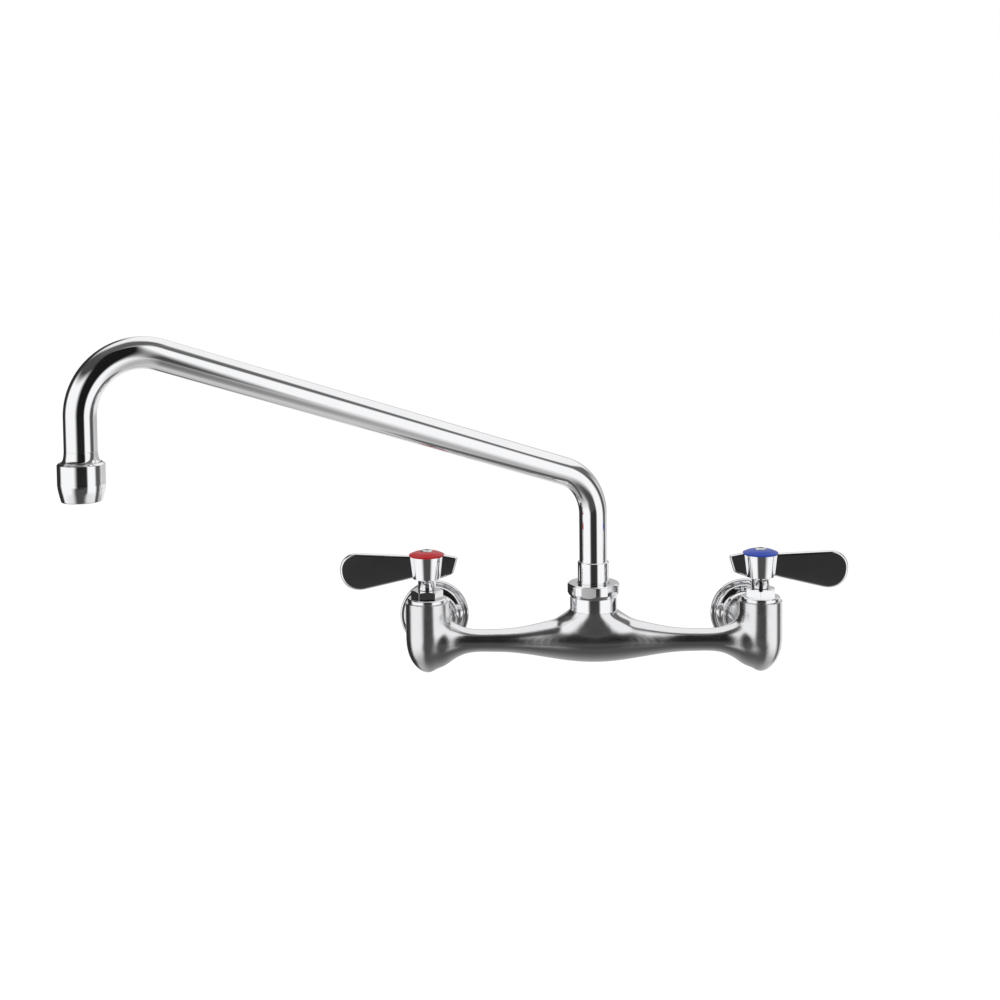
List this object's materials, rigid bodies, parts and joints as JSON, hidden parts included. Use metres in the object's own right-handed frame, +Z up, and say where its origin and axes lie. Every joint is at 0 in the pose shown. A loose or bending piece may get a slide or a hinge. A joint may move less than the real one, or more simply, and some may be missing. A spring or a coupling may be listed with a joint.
{
  "type": "commercial wall faucet",
  "caption": "Wall-mounted kitchen mixer faucet: slim bar body between pear-shaped valves, lever handles and a long swinging bent-tube spout with an aerator.",
  "frame": {"origin": "on the wall plane, midway between the two inlets and at the height of their axes", "axes": "+X to the right along the bar (cold side), +Y into the wall along the inlets, +Z up"},
  "size_m": [0.436, 0.2253, 0.2194],
  "materials": {
    "chrome_casting": "polished chrome plate on a sand-cast brass body",
    "chrome_turned": "polished chrome plate on turned brass",
    "chrome_tube": "polished chrome plate on drawn brass tube",
    "chrome_handle": "polished chrome plate on a die-cast lever",
    "bright_screw": "bright stainless steel",
    "red_index": "glossy red moulding",
    "blue_index": "glossy blue moulding",
    "brass": "machined, left bare",
    "ceramic": "lapped alumina",
    "black_rubber": "moulded nitrile rubber",
    "white_plastic": "moulded acetal",
    "grey_plastic": "moulded acetal"
  },
  "bodies": {
    "valve_body": {"faucet_body": "chrome_casting", "spout_nut": "chrome_turned", "spout_glide_ring": "white_plastic", "hot_wall_flange": "chrome_turned", "hot_seat_seal": "black_rubber", "hot_lower_disc": "ceramic", "hot_cartridge_shell": "brass", "hot_bonnet": "chrome_turned", "hot_bonnet_seal": "black_rubber", "cold_wall_flange": "chrome_turned", "cold_seat_seal": "black_rubber", "cold_lower_disc": "ceramic", "cold_cartridge_shell": "brass", "cold_bonnet": "chrome_turned", "cold_bonnet_seal": "black_rubber"},
    "spout": {"spout_tube": "chrome_tube", "spout_shank": "chrome_turned", "upper_spout_o_ring": "black_rubber", "lower_spout_o_ring": "black_rubber", "outlet_adapter": "chrome_turned", "aerator_housing": "chrome_turned", "aerator_washer": "black_rubber", "aerator_insert": "grey_plastic"},
    "hot_lever": {"hot_handle": "chrome_handle", "hot_index": "red_index", "hot_handle_screw": "bright_screw", "hot_stem": "brass", "hot_stem_o_ring": "black_rubber", "hot_upper_disc": "ceramic"},
    "cold_lever": {"cold_handle": "chrome_handle", "cold_index": "blue_index", "cold_handle_screw": "bright_screw", "cold_stem": "brass", "cold_stem_o_ring": "black_rubber", "cold_upper_disc": "ceramic"}
  },
  "joints": [
    {"name": "spout_swing", "type": "hinge", "parent": "valve_body", "child": "spout", "pos_m": [0, -0.07, 0.03], "axis": [0, 0, 1], "range_deg": [-28, 152]},
    {"name": "hot_turn", "type": "hinge", "parent": "valve_body", "child": "hot_lever", "pos_m": [-0.1016, -0.07, 0.03], "axis": [0, 0, 1], "range_deg": [0, 90]},
    {"name": "cold_turn", "type": "hinge", "parent": "valve_body", "child": "cold_lever", "pos_m": [0.1016, -0.07, 0.03], "axis": [0, 0, 1], "range_deg": [-90, 0]}
  ]
}
